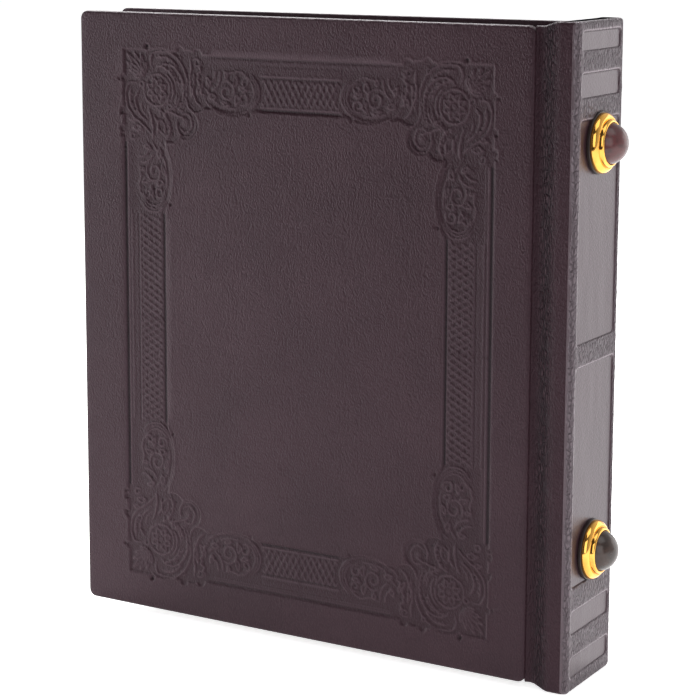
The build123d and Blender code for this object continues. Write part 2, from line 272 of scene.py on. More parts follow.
def plain_finish(name, light, dark, scale, rough, bump, weave=None):
    """Board, paper, cloth or lacquer: a mottled tone with a fibre or weave bump."""
    material, tree, shader, place = new_finish(name)
    tone = cloud(tree, place, scale, 5.0, 0.6)
    tree.links.new(ramp(tree, tone, [(0.3, dark), (0.7, light)]), shader.inputs["Base Color"])
    tree.links.new(spread(tree, tone, rough - 0.06, rough + 0.06), shader.inputs["Roughness"])
    if weave is None:
        height = cloud(tree, place, scale * 8.0, 3.0)
    else:
        height = cells(tree, stretched(tree, place, weave), 1.0)
    raised(tree, shader, height, bump, 0.7)
    return material


grey_board = plain_finish("grey_board", (0.36, 0.34, 0.31), (0.24, 0.23, 0.21), 240.0, 0.85, 0.00010)
paper = plain_finish("end_paper", (0.060, 0.044, 0.042), (0.046, 0.033, 0.032), 60.0, 0.78, 0.00004)
cloth = plain_finish("book_cloth", (0.050, 0.040, 0.040), (0.034, 0.027, 0.027), 300.0, 0.88, 0.00016,
                     (1900.0, 1900.0, 1900.0))
lacquer = plain_finish("dark_lacquer", (0.034, 0.022, 0.018), (0.018, 0.012, 0.011), 200.0, 0.32, 0.00001)
card = plain_finish("black_card", (0.014, 0.014, 0.015), (0.009, 0.009, 0.010), 180.0, 0.62, 0.00003)


def film_finish():
    """Clear polyester strip."""
    material, tree, shader, place = new_finish("clear_film")
    ripple = cloud(tree, place, 45.0, 2.0)
    tree.links.new(spread(tree, ripple, 0.05, 0.12), shader.inputs["Roughness"])
    shader.inputs["Base Color"].default_value = (0.86, 0.89, 0.90, 1.0)
    shader.inputs["Alpha"].default_value = 0.22
    shader.inputs["IOR"].default_value = 1.58
    raised(tree, shader, ripple, 0.0004, 0.5)
    return material


film = film_finish()


# ---- mesh helpers -------------------------------------------------------------------------------------
def finished(name, bm, material):
    """A bmesh made into a piece of the album."""
    mesh = bpy.data.meshes.new(name)
    bm.to_mesh(mesh)
    bm.free()
    mesh.materials.append(material)
    for face in mesh.polygons:
        face.use_smooth = True
    piece = bpy.data.objects.new(name, mesh)
    bpy.context.scene.collection.objects.link(piece)
    return piece


def woven(columns, rows, place):
    """A grid sheet whose points place(i, j) gives, in millimetres."""
    bm = bmesh.new()
    bmesh.ops.create_grid(bm, x_segments=columns, y_segments=rows, size=0.5)
    for vert in bm.verts:
        i = round((vert.co.x + 0.5) * columns)
        j = round((vert.co.y + 0.5) * rows)
        vert.co = Vector(place(i, j)) * MM
    return bm


def smooth_step(value):
    """Ease from 0 to 1."""
    t = np.clip(value, 0.0, 1.0)
    return t * t * (3 - 2 * t)


# ---- pressed ornament ---------------------------------------------------------------------------------
# One quarter of the cover's frame. p runs in from the frame's outer upright line and q from its outer level
# line, so (0, 0) is the outer corner of the corner piece; the cover's middle is at (HALF_P, HALF_Q).
HALF_P = 91.3
HALF_Q = 119.6
MIDDLE_U = 109.0
MIDDLE_Z = -0.2
CORNER_DROP = 6
CELL = 0.2
MARGIN = 6.0
PRESSED = 0.58
DEEPEST = -0.86
SWELL = 0.13
NET_HEIGHT = 0.42
NET_PITCH = 3.05
NET_WIDTH = 11.2
p_line = np.arange(-MARGIN, HALF_P + CELL, CELL)
q_line = np.arange(-MARGIN, HALF_Q + CELL, CELL)
P, Q = np.meshgrid(p_line, q_line)
ridges = np.zeros_like(P)
pits = np.zeros_like(P)
ground = np.full_like(P, -9.0)


def curve(points, step=0.15):
    """Points along a smooth curve through the given ones."""
    knots = [Vector((x, y)) for x, y in points]
    knots = [2 * knots[0] - knots[1], *knots, 2 * knots[-1] - knots[-2]]
    made = []
    for a, b, c, d in zip(knots, knots[1:], knots[2:], knots[3:]):
        count = max(2, int((c - b).length / step))
        for k in range(count):
            t = k / count
            made.append(0.5 * (2 * b + (c - a) * t + (2 * a - 5 * b + 4 * c - d) * t * t
                               + (3 * b - a - 3 * c + d) * t * t * t))
    made.append(knots[-2])
    return [(v.x + 0.28 * noise.noise(Vector((v.x * 0.45, v.y * 0.45, 2.0))),
             v.y + 0.28 * noise.noise(Vector((v.x * 0.45, v.y * 0.45, 7.0)))) for v in made]


def stamp(layer, x, y, radius, height):
    """A round soft bump pressed into a layer, kept where it is the highest."""
    i = int((x + MARGIN) / CELL)
    j = int((y + MARGIN) / CELL)
    reach = int(radius / CELL) + 2
    rows = slice(max(j - reach, 0), j + reach + 1)
    columns = slice(max(i - reach, 0), i + reach + 1)
    near = np.hypot(P[rows, columns] - x, Q[rows, columns] - y) / radius
    bump = height * np.clip(1.0 - near * near, 0.0, 1.0) ** 1.2
    layer[rows, columns] = np.maximum(layer[rows, columns], bump)


def line(points, width=0.52, height=0.6):
    """A raised line, thinner at its ends."""
    track = curve(points)
    last = max(1, len(track) - 1)
    for k, (x, y) in enumerate(track):
        ends = min(1.0, 0.45 + 4.0 * min(k, last - k) / last)
        stamp(ridges, x, y, width * ends, height * ends)


def ring_points(x, y, radius, start, end, squash=1.0):
    """Points on an arc, angles in degrees, squashed in y if wanted."""
    count = max(5, int(abs(end - start) / 24) + 2)
    made = []
    for k in range(count):
        t = k / (count - 1)
        angle = math.radians(start + (end - start) * t)
        made.append((x + radius * math.cos(angle), y + squash * radius * math.sin(angle)))
    return made


def leaflet(x0, y0, x1, y1, width, bend=0.0):
    """An outlined leaf with its vein, from its root to its tip."""
    root = Vector((x0, y0))
    tip = Vector((x1, y1))
    across = Vector((root.y - tip.y, tip.x - root.x)).normalized()
    belly = root.lerp(tip, 0.55) + across * bend
    for side in (-1, 1):
        shoulder = root.lerp(tip, 0.3) + across * (bend * 0.7 + side * width * 0.8)
        middle = belly + across * side * width
        line([root, shoulder, middle, tip], 0.44, 0.55)
    line([root.lerp(tip, 0.12), belly.lerp(root, 0.3), belly.lerp(tip, 0.55)], 0.55, 0.22)


def scroll_points(x, y, radius, start, turns, hand, per_turn, closing):
    """Points along a scroll that winds inwards; closing is the share of the radius that it loses."""
    made = []
    count = int(per_turn * turns) + 4
    for k in range(count):
        t = k / (count - 1)
        angle = math.radians(start + hand * 360.0 * turns * t)
        r = radius * (1.0 - closing * t)
        made.append((x + r * math.cos(angle), y + r * math.sin(angle)))
    return made


def curl(x, y, radius, start, turns, hand=1):
    """A tight scroll that ends in a small eye."""
    line(scroll_points(x, y, radius, start, turns, hand, 12, 0.82), 0.46, 0.42)
    stamp(pits, x, y, radius * 0.28 + 0.15, 0.30)


def eye(x, y, radius):
    """A small pit with a raised lip, punched outside the frame."""
    stamp(pits, x, y, radius, 0.75)
    line(ring_points(x, y, radius + 0.35, -70, 140), 0.4, 0.14)


def press(shape):
    """Widen the pressed ground with a shape given as its inside distance."""
    np.maximum(ground, shape, out=ground)


def disc(x, y, rx, ry=None):
    """Inside distance of a disc or an ellipse."""
    ry = rx if ry is None else ry
    reach = np.hypot((P - x) / rx, (Q - y) / ry)
    return (1.0 - reach) * min(rx, ry)


def plate(p0, p1, q0, q1):
    """Inside distance of a rectangle."""
    return np.minimum(np.minimum(P - p0, p1 - P), np.minimum(Q - q0, q1 - Q))


def scalloped(points, depth, count):
    """Points along a curve with small lobes to one side, as on an acanthus edge."""
    track = curve(points, 0.4)
    made = []
    for k, (x, y) in enumerate(track[:-1]):
        nx = track[k + 1][1] - y
        ny = x - track[k + 1][0]
        size = math.hypot(nx, ny) or 1.0
        wave = depth * abs(math.sin(math.pi * count * k / len(track)))
        made.append((x + nx / size * wave, y + ny / size * wave))
    return made


def lobed(points, count, size, side=1):
    """A raised stem with short curved lobes along one side, like a cut leaf edge."""
    track = curve(points)
    line(points, 0.48, 0.55)
    for k in range(1, count + 1):
        here = int(len(track) * k / (count + 1))
        x, y = track[here]
        ahead = Vector((track[min(here + 3, len(track) - 1)])) - Vector((x, y))
        if ahead.length > 0:
            ahead.normalize()
            out = Vector((-ahead.y, ahead.x)) * side
            reach = size * (0.75 + 0.25 * math.sin(2.4 * k))
            belly = Vector((x, y)) + reach * (0.6 * out + 0.2 * ahead)
            tip = Vector((x, y)) + reach * (0.8 * out + 0.9 * ahead)
            line([(x, y), belly, tip], 0.42, 0.5)


def corner_piece():
    """Palmette at the outer corner, a rosette in scrolls, and lobed leaves towards the field."""
    for x, y, radius in ((19, 19, 19.3), (38.2, 20.5, 5.6), (33.0, 31.5, 6.2), (24.5, 34.5, 5.4),
                         (9, 31, 8.5)):
        press(disc(x, y, radius))
    press(disc(32, 8.5, 12.5, 8.7))
    press(plate(0.2, 12.0, 0.3, 12.0))
    press(plate(-0.2, 10.0, 12.0, 40.0))
    for x, y, radius in ((12.6, -1.0, 1.3), (30.2, 0.4, 1.9), (39.2, 1.5, 2.2), (-0.4, 12.6, 1.2),
                         (-0.6, 35.2, 1.5), (-0.3, 27.0, 1.5)):
        press(disc(x, y, radius))
    for x, y, width in ((1.2, 1.6, 0.9), (5.2, 0.9, 0.9), (0.9, 5.6, 0.9), (9.2, 2.2, 0.8), (2.2, 9.0, 0.8),
                        (12.2, 5.0, 0.8), (5.2, 12.2, 0.8)):
        leaflet(11.0, 11.0, x, y, width)
    eye(12.3, -1.6, 0.9)
    eye(-2.4, 13.2, 0.9)
    eye(-1.5, 28.2, 0.9)
    eye(-1.3, 37.6, 1.0)
    line([(15.0, 8.0), (14.2, 4.5), (15.5, 1.6), (20.0, 0.6), (26.0, 1.6), (30.5, 5.5), (33.4, 11.0),
          (34.2, 16.5)])
    lobed([(17.4, 3.6), (21.0, 2.8), (25.4, 4.2), (29.0, 7.6)], 5, 1.4, 1)
    line([(17.5, 9.0), (20.0, 6.6), (24.0, 6.0), (28.0, 8.0), (31.0, 12.0), (32.2, 16.0)])
    line([(20.0, 9.6), (24.0, 8.8), (27.5, 11.0), (29.6, 15.0)], 0.45, 0.3)
    line([(7.5, 15.0), (4.0, 14.4), (1.8, 16.0), (0.9, 20.0), (1.6, 25.0), (5.0, 29.5), (10.0, 33.0),
          (14.5, 37.0)])
    lobed([(3.4, 17.0), (3.0, 21.0), (4.0, 25.0), (7.0, 28.6)], 5, 1.5, -1)
    line([(8.5, 17.5), (6.4, 20.5), (6.2, 24.5), (8.5, 28.5), (12.5, 31.6)])
    line([(9.0, 23.0), (10.0, 27.0), (13.6, 30.0)], 0.45, 0.3)
    line(ring_points(17.7, 17.5, 6.9, -160, 190), 0.6, 0.46)
    for k in range(8):
        angle = math.radians(45.0 * k + 12.0)
        leaflet(17.7 + 1.8 * math.cos(angle), 17.5 + 1.8 * math.sin(angle),
                17.7 + 5.8 * math.cos(angle + 0.2), 17.5 + 5.8 * math.sin(angle + 0.2), 1.1, 0.2)
    stamp(ridges, 17.7, 17.5, 1.7, 0.42)
    stamp(pits, 17.7, 17.5, 0.5, 0.30)
    line(ring_points(17.7, 17.5, 8.6, -60, 40), 0.5, 0.5)
    lobed(ring_points(17.9, 17.5, 10.4, -88, -12), 6, 2.2, -1)
    lobed(ring_points(17.9, 17.5, 10.6, 4, 76), 6, 2.2, -1)
    line(scalloped(ring_points(17.7, 17.5, 13.6, -34, 40), 0.9, 8), 0.46, 0.5)
    line(ring_points(17.7, 17.5, 15.6, -14, 30), 0.42, 0.4)
    lobed([(30.0, 19.0), (29.2, 22.6), (26.0, 25.2), (22.0, 25.6)], 4, 1.6, 1)
    lobed([(17.0, 25.6), (20.5, 27.0), (23.6, 30.6), (24.4, 35.0), (22.6, 39.0)], 6, 1.8, 1)
    line([(15.6, 28.0), (18.0, 32.0), (17.6, 36.5)], 0.5)
    line([(13.0, 26.0), (14.6, 30.0), (15.4, 35.0), (15.0, 38.5)], 0.5)
    leaflet(19.0, 29.5, 21.4, 37.0, 1.7, 0.3)
    line([(21.5, 26.0), (26.0, 27.2), (30.0, 28.4), (34.0, 30.0)], 0.55)
    line(ring_points(32.6, 31.0, 3.4, -150, 170, 1.2), 0.5, 0.42)
    line([(28.5, 29.0), (28.2, 33.0), (30.5, 36.6), (34.5, 36.9), (37.6, 34.4), (38.2, 31.0)], 0.5)
    stamp(ridges, 32.6, 31.0, 2.3, 0.3)
    stamp(pits, 29.2, 31.4, 0.6, 0.35)
    line([(35.4, 3.0), (36.0, 7.5), (35.2, 12.0), (36.6, 17.0), (38.6, 21.5), (41.6, 24.0)], 0.55)
    line(scalloped([(41.0, 3.6), (39.8, 7.6), (39.0, 12.0), (40.2, 16.5), (42.6, 20.0)], 1.0, 6), 0.5)
    line([(33.0, 20.0), (34.4, 24.0), (37.4, 26.6), (40.6, 25.8)], 0.5)
    line([(27.0, 21.5), (28.6, 25.0), (32.0, 26.4)], 0.45, 0.34)
    leaflet(36.0, 20.0, 37.6, 9.0, 0.9, -0.4)
    leaflet(38.5, 18.5, 42.0, 13.0, 0.9, 0.3)
    curl(38.8, 5.0, 2.0, 200, 1.2)
    curl(29.6, 3.4, 1.4, 160, 1.0, -1)
    curl(9.4, 15.2, 1.8, 90, 1.2, -1)
    curl(4.6, 38.0, 1.9, 20, 1.2)
    curl(24.6, 22.4, 1.6, 0, 1.1)
    leaflet(10.0, 34.5, 4.0, 34.6, 1.2, 0.2)
    leaflet(6.5, 30.2, 2.2, 31.0, 0.8)
    for x, y in ((13.6, 14.0), (22.9, 13.0), (24.5, 19.0), (16.0, 23.6), (26.0, 36.0), (35.5, 34.5),
                 (37.0, 14.5), (33.0, 17.5), (12.4, 36.6), (40.8, 10.4), (20.0, 33.5), (6.0, 26.0)):
        stamp(pits, x, y, 0.6, 0.34)


def medallion(at):
    """Scrollwork between the corner piece and the net; at(x, y) places it, +x towards the net."""
    def drawn(points, *sizes):
        line([at(x, y) for x, y in points], *sizes)

    def leaf(x0, y0, x1, y1, width, bend=0.0):
        leaflet(*at(x0, y0), *at(x1, y1), width, bend)

    def spiral(x, y, radius, start, turns, hand):
        drawn(scroll_points(x, y, radius, start, turns, hand, 14, 0.8), 0.5, 0.42)
        stamp(pits, *at(x, y), 0.6, 0.34)

    drawn([(-15.0, 3.5), (-12.5, 6.4), (-7.0, 8.9), (0.0, 9.8), (6.5, 9.0), (11.0, 6.4), (13.0, 3.0)],
          0.55, 0.44)
    for radius in (11.4, 12.7, 14.0):
        drawn(ring_points(0.2, 0.2, radius, -48, 52, 0.74), 0.48, 0.55)
    drawn([(-15.0, -1.0), (-12.0, 1.6), (-9.4, 4.6), (-6.0, 6.8), (-1.0, 7.6), (4.0, 7.2)], 0.5, 0.38)
    drawn([(-13.6, -2.0), (-11.0, -3.0), (-9.0, -5.6), (-8.4, -8.6)], 0.5, 0.42)
    drawn([(-10.4, 0.4), (-8.0, -1.4), (-6.4, -4.6), (-6.2, -8.0)], 0.5, 0.4)
    drawn([(-6.0, -8.6), (-1.0, -7.4), (3.0, -8.4), (7.0, -7.0), (9.8, -4.0)], 0.48, 0.38)
    spiral(-2.6, 0.6, 4.9, 215, 1.5, 1)
    spiral(5.8, 3.4, 3.0, 120, 1.3, -1)
    spiral(6.6, -3.6, 2.4, 250, 1.2, 1)
    leaf(0.6, -1.0, 2.4, -6.8, 1.0, 0.5)
    leaf(-3.2, -4.8, -3.4, -8.2, 0.8, 0.3)
    leaf(2.6, 1.4, 2.0, 6.4, 1.0, -0.5)
    leaf(-8.0, 3.0, -12.6, 3.6, 1.1, 0.3)
    leaf(-5.4, 5.0, -1.0, 6.6, 0.7, 0.2)
    leaf(-11.6, -1.0, -13.2, -5.6, 0.9, 0.4)
    leaf(3.4, -1.6, 8.2, -0.4, 0.8, 0.4)
    for x, y in ((-9.8, -2.6), (-4.6, -6.4), (4.2, -5.4), (1.6, 4.0), (-7.6, 6.0), (8.6, 0.8),
                 (-5.8, 3.6), (0.0, -3.6), (4.4, 0.4)):
        stamp(pits, *at(x, y), 0.55, 0.32)


def net(along, across, length, start):
    """Height of the net's lines, two rows of diamonds across the band."""
    s = along / NET_PITCH
    t = (across - start) / (NET_WIDTH / 2)
    warp = 0.05 * np.sin(2 * math.pi * 2 * t)
    made = np.zeros_like(along)
    for value in (s + warp + t, s + warp - t):
        away = np.abs(value - np.round(value)) * 2.68
        made = np.maximum(made, np.exp(-(away / 0.36) ** 2))
    return made * (np.abs(along) < length) * smooth_step((across - start) / 0.4) * smooth_step(
        (start + NET_WIDTH - across) / 0.4)


def band_profile(value, knots):
    """Height across a fillet band through (distance, height) knots."""
    return np.interp(value, [k[0] for k in knots], [k[1] for k in knots])


corner_piece()
ridges = np.roll(ridges, CORNER_DROP, axis=0)
pits = np.roll(pits, CORNER_DROP, axis=0)
ground = np.roll(ground, CORNER_DROP, axis=0)


def draw_bands():
    """Nets, fillets and medallions between the corner pieces."""
    press(plate(-0.7, 21.9, 38.0, 200.0))
    press(plate(40.0, 200.0, 3.0, 25.4))
    press(disc(15.4, 57.0, 9.9, 17.6))
    press(disc(58.0, 17.4, 16.4, 10.2))
    medallion(lambda x, y: (57.0 + 0.98 * x, 17.2 + y))
    medallion(lambda x, y: (15.4 + 0.94 * y, 57.2 + 1.06 * x))
    eye(66.0, 27.0, 0.9)
    eye(24.6, 68.2, 0.9)
    line([(67.6, 26.0), (69.6, 25.0), (73.0, 24.2)], 0.4, 0.3)
    line([(23.6, 68.8), (22.6, 71.0), (21.8, 74.0)], 0.4, 0.3)


draw_bands()
along_side = HALF_Q - Q
along_head = HALF_P - P
side_knots = [(-0.9, 0.0), (-0.2, -0.85), (0.8, -0.85), (1.5, -0.30), (2.0, -0.30), (2.5, -0.68),
              (3.1, -0.30), (3.7, -0.30), (4.1, -0.52), (6.6, -0.52), (7.1, -0.82), (7.5, -0.40),
              (8.1, -0.30), (8.6, -0.62), (19.4, -0.62), (19.9, -0.35), (20.3, -0.85), (21.2, -0.85),
              (22.1, 0.04), (22.9, 0.0)]
head_knots = [(2.6, 0.0), (3.3, -0.70), (3.9, -0.70), (4.5, -0.35), (4.9, -0.72), (5.4, -0.35),
              (6.0, -0.72), (6.6, -0.50), (9.7, -0.50), (10.2, -0.28), (10.7, -0.28), (11.2, -0.82),
              (11.7, -0.62), (22.9, -0.62), (23.4, -0.30), (24.0, -0.30), (24.6, -0.85), (25.1, -0.85),
              (25.9, 0.04), (26.6, 0.0)]
swell = SWELL * np.exp(-((ground + 0.75) / 0.45) ** 2)
sunk = swell - PRESSED * smooth_step((ground + 0.25) / 0.55)
relief_map = sunk + np.minimum(ridges, 0.6) * smooth_step((ground + 0.5) / 0.4) - pits
side_map = band_profile(P, side_knots) + NET_HEIGHT * net(along_side, P, 60.0, 8.4)
head_map = band_profile(Q, head_knots) + NET_HEIGHT * net(along_head, Q, 40.0, 11.7)
side_share = smooth_step((47.5 - along_side) / 1.5) * (P < 30)
head_share = smooth_step((20.5 - along_head) / 1.5) * (Q < 34)
fillet_rows = ((P > -2.0) & (P < 3.4) & (Q > 42.0)).astype(float)
fillet_columns = ((Q > 2.0) & (Q < 6.2) & (P > 46.0)).astype(float)
relief_map = np.where(fillet_rows > 0, np.minimum(side_map, 0.0) + ridges * 0.4, relief_map)
relief_map = np.where(fillet_columns > 0, np.minimum(head_map, 0.0) + ridges * 0.4, relief_map)
medal_side = disc(15.4, 57.0, 8.6, 16.8)
medal_head = disc(58.0, 17.4, 15.2, 9.4)
side_share = side_share * smooth_step(-medal_side / 0.6)
head_share = head_share * smooth_step(-medal_head / 0.6)
relief_map = relief_map * (1 - side_share) + side_map * side_share
relief_map = relief_map * (1 - head_share) + head_map * head_share
relief_map = np.maximum(relief_map, DEEPEST)
# crest_map: how far a point stands above its surroundings; it sets the painted highlight on ridge crests
steps = (-7, -4, 0, 4, 7)
around = sum(np.roll(relief_map, (a, b), (0, 1)) for a in steps for b in steps) / len(steps) ** 2
crest_map = np.clip((relief_map - around) / 0.30, 0.0, 1.0) * (ground > -0.4)
crest_map = np.where(relief_map < -0.7, 0.0, crest_map)


def relief_at(u, z, wanted=None):
    """Depth of the pressed frame on a cover, u from its hinge edge and z from its middle height."""
    wanted = relief_map if wanted is None else wanted
    p = HALF_P - np.abs(u - MIDDLE_U)
    q = HALF_Q - np.abs(z - MIDDLE_Z)
    x = np.clip((p + MARGIN) / CELL, 0, len(p_line) - 1.001)
    y = np.clip((q + MARGIN) / CELL, 0, len(q_line) - 1.001)
    i = x.astype(int)
    j = y.astype(int)
    fx = x - i
    fy = y - j
    low = wanted[j, i] * (1 - fx) + wanted[j, i + 1] * fx
    high = wanted[j + 1, i] * (1 - fx) + wanted[j + 1, i + 1] * fx
    inside = (p > -MARGIN + CELL) & (q > -MARGIN + CELL)
    return (low * (1 - fy) + high * fy) * inside


# ---- covers -------------------------------------------------------------------------------------------
RIM = 1.2
CORNER = 3.5
TURN_IN = 16.0
COVER_THICK = 3.6


def cover_point(side_name, u, z, w):
    """A point of a cover: u from the hinge edge, z from its middle height, w out of its face."""
    side = SIDES[side_name]
    lean = LEANS[side_name]
    x = COVER_EDGE_X - u * math.cos(lean) - w * math.sin(lean)
    y = side * SPINE_HALF - side * u * math.sin(lean) + side * w * math.cos(lean)
    return Vector((x, y, ALBUM_MIDDLE + z)) * MM


def cover_skin(side_name):
    """The cover's leather: pressed face, rounded rim, turn-in inside and the hollow for the board."""
    half_u = COVER_WIDTH / 2
    half_z = COVER_HEIGHT / 2
    bm = bmesh.new()
    bmesh.ops.create_grid(bm, x_segments=84, y_segments=100, size=1.0)
    bmesh.ops.scale(bm, vec=(half_u - RIM, half_z - RIM, 1.0), verts=bm.verts)
    detailed = []
    near = np.linspace(-1.34, 1.34, 6)
    for face in bm.faces:
        middle = face.calc_center_median()
        u, z = np.meshgrid(middle.x + near + half_u, middle.y + near)
        heights = relief_at(u.ravel(), z.ravel())
        if heights.max() - heights.min() > 0.07:
            detailed.append(face)
    edges = list({edge for face in detailed for edge in face.edges})
    bmesh.ops.subdivide_edges(bm, edges=edges, cuts=4, use_grid_fill=True)
    corners = [v for v in bm.verts if len(v.link_edges) == 2]
    bmesh.ops.bevel(bm, geom=corners, offset=CORNER - RIM, segments=6, profile=0.5, affect="VERTICES",
                    material=-1)
    core = bm.verts.layers.float_vector.new("core")
    out = bm.verts.layers.float_vector.new("out")
    relief = bm.verts.layers.float.new("relief")
    crest = bm.verts.layers.float.new("crest")
    boundary = [edge for edge in bm.edges if edge.is_boundary]
    for vert in {v for edge in boundary for v in edge.verts}:
        centre = Vector((max(CORNER - half_u, min(half_u - CORNER, vert.co.x)),
                         max(CORNER - half_z, min(half_z - CORNER, vert.co.y)), 0.0))
        vert[core] = centre
        vert[out] = (vert.co - centre).normalized()
    flat = np.array([v.co for v in bm.verts])
    heights = relief_at(flat[:, 0] + half_u, flat[:, 1])
    crests = relief_at(flat[:, 0] + half_u, flat[:, 1], crest_map)
    # relief drives the painted shade in the hollows, crest the painted highlight on the ridges
    for vert, height, painted_highlight in zip(bm.verts, heights, crests):
        puff = 0.05 * noise.noise(Vector((vert.co.x / 31.0, vert.co.y / 37.0, 3.0)))
        edge_share = min(1.0, min(half_u - abs(vert.co.x), half_z - abs(vert.co.y)) / 6.0 - 0.2)
        vert.co.z = height + puff * max(0.0, edge_share)
        vert[relief] = max(0.0, min(1.0, 1.0 + height / 0.8))
        vert[crest] = 0.55 * painted_highlight

    loops = [(RIM * (1 - math.sin(a)), -RIM * (1 - math.cos(a))) for a in np.radians((18, 36, 54, 72, 90))]
    loops += [(0.0, -2.2), (0.0, -COVER_THICK + 0.5), (0.15, -COVER_THICK + 0.15), (0.5, -COVER_THICK)]
    loops += [(4.0, -COVER_THICK), (TURN_IN - 0.2, -COVER_THICK), (TURN_IN, -COVER_THICK + 0.1)]
    loops += [(TURN_IN, -3.1), (0.9, -3.1), (0.9, -0.95)]
    edge_loop = boundary
    for inset, depth in loops:
        made = bmesh.ops.extrude_edge_only(bm, edges=edge_loop)["geom"]
        edge_loop = [g for g in made if isinstance(g, bmesh.types.BMEdge)]
        radius = max(CORNER - inset, 0.4)
        scale_u = (half_u - inset - radius) / (half_u - CORNER)
        scale_z = (half_z - inset - radius) / (half_z - CORNER)
        for vert in [g for g in made if isinstance(g, bmesh.types.BMVert)]:
            centre = vert[core]
            outward = vert[out]
            vert.co = Vector((centre.x * scale_u + outward.x * radius,
                              centre.y * scale_z + outward.y * radius, depth))
            vert[relief] = 1.0
    bmesh.ops.holes_fill(bm, edges=edge_loop, sides=0)
    for vert in bm.verts:
        vert.co = cover_point(side_name, vert.co.x + half_u, vert.co.y, vert.co.z)
    bm.verts.layers.float_vector.remove(bm.verts.layers.float_vector["core"])
    bm.verts.layers.float_vector.remove(bm.verts.layers.float_vector["out"])
    bmesh.ops.recalc_face_normals(bm, faces=bm.faces)
    piece = finished(f"{side_name}_cover_skin", bm, cover_leather)
    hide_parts(f"{side_name}_cover_leather")
    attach(piece, f"{side_name}_cover")


for side_name in SIDES:
    cover_skin(side_name)


# ---- hinge grooves ------------------------------------------------------------------------------------
def groove_height(x):
    """Height of the groove's leather over the album's middle plane."""
    if x < 98.0:
        return 20.7 + 0.5 * ((98.0 - x) / 2.4) ** 2
    return 20.7 + 1.84 * float(smooth_step((x - 98.0) / 9.4)) - 0.16 * float(smooth_step((x - 111.4) / 1.2))


def fold_share(x):
    """How strongly the leather is creased across the groove: most in the bend, none on the shoulder."""
    return math.exp(-((x - 102.0) / 3.6) ** 2)


def groove_skin(side_name):
    """The leather that bends between cover and shoulder, full of small upright wrinkles."""
    side = SIDES[side_name]
    columns = 66
    rows = 330
    ends = [0.0, 0.04, 0.14, 0.32, 0.56, 0.88, 1.25]

    def place(i, j):
        x = 95.7 + (112.6 - 95.7) * i / columns
        rise = smooth_step((x - 97.6) / 8.6) * 1.98
        low = COVER_FOOT - rise
        high = COVER_FOOT + COVER_HEIGHT + rise
        last = len(ends) - 1
        if j <= last:
            z = low + ends[j]
        elif j >= rows - last:
            z = high - ends[rows - j]
        else:
            z = low + ends[-1] + (high - low - 2 * ends[-1]) * (j - last) / (rows - 2 * last)
        ridge = abs(noise.noise(Vector((x * 0.8, z * 0.09, side * 5.0))))
        fine = abs(noise.noise(Vector((x * 2.3 + 9.0, z * 0.30, side * 9.0))))
        folds = (0.6 * ridge + 0.7 * fine) * fold_share(x)
        near = min(1.0, min(z - low, high - z) / ends[-1])
        drop = 1.25 * (1 - math.sqrt(max(0.0, 1 - (1 - near) ** 2)))
        y = groove_height(x) - 0.42 * folds - drop
        return x, side * y, z

    bm = woven(columns, rows, place)
    fold = bm.verts.layers.float.new("fold")
    for vert in bm.verts:
        vert[fold] = fold_share(vert.co.x / MM)
    floor_points = bmesh.ops.extrude_face_region(bm, geom=bm.faces[:])["geom"]
    for vert in [g for g in floor_points if isinstance(g, bmesh.types.BMVert)]:
        vert.co.y -= side * 0.6 * MM
    bmesh.ops.recalc_face_normals(bm, faces=bm.faces)
    piece = finished(f"{side_name}_groove_skin", bm, groove_calf)
    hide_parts(f"{side_name}_hinge_leather")
    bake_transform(piece)


def inner_joint(side_name):
    """Cloth joint on the inside of the groove."""
    side = SIDES[side_name]
    low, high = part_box(f"{side_name}_inner_hinge")
    x_low, x_high = low.x / MM, high.x / MM
    z_low, z_high = low.z / MM, high.z / MM
    y_out = max(abs(low.y), abs(high.y)) / MM

    def place(i, j):
        x = x_low + (x_high - x_low) * i / 24
        z = z_low + (z_high - z_low) * j / 130
        dip = 0.25 * math.sin(math.pi * i / 24)
        return x, side * (y_out - 0.1 - dip + 0.03 * noise.noise(Vector((x, z * 0.3, 1.0)))), z

    bm = woven(24, 130, place)
    bmesh.ops.solidify(bm, geom=bm.faces[:], thickness=-0.4 * MM * side)
    bmesh.ops.recalc_face_normals(bm, faces=bm.faces)
    piece = finished(f"{side_name}_cloth_joint", bm, cloth)
    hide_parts(f"{side_name}_inner_hinge")
    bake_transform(piece)


for side_name in SIDES:
    groove_skin(side_name)
    inner_joint(side_name)


# ---- spine --------------------------------------------------------------------------------------------
PANELS = [(5.6, 14.7), (23.8, 34.2), (43.4, 134.7), (143.4, 233.6), (241.5, 252.0), (260.0, 268.4)]
PANEL_HALF = 19.3
PANEL_DEPTH = 0.7
PANEL_CORNER = 2.4


def panel_share(y, height):
    """1 inside a pressed panel, 0 on the raised bands, with a soft wall between."""
    best = 0.0
    wall = 1.7
    for low, high in PANELS:
        across = abs(y) - PANEL_HALF + PANEL_CORNER
        up = abs(height - (low + high) / 2) - (high - low) / 2 + PANEL_CORNER
        inside = PANEL_CORNER - math.hypot(max(across, 0.0), max(up, 0.0)) - min(max(across, up), 0.0)
        best = max(best, min(1.0, max(0.0, inside / wall + 0.6)))
    for bolt in BOLT_HEIGHTS.values():
        inside = 12.6 - math.hypot(y, height - bolt)
        best = max(best, min(1.0, max(0.0, inside / 0.5 + 0.5)))
    return 1.0 - math.sqrt(1.0 - best * best)


def lip_highlight_share(y, height):
    """How strongly a panel's edge gets a painted highlight: most under the bands and along the front side.
    """
    under_band = max(0.0, 1.0 - min(abs(height - high) for low, high in PANELS) / 1.6)
    front_side = min(1.0, max(0.0, (-y - PANEL_HALF + 1.6) / 0.8))
    return max(0.12, under_band, front_side)


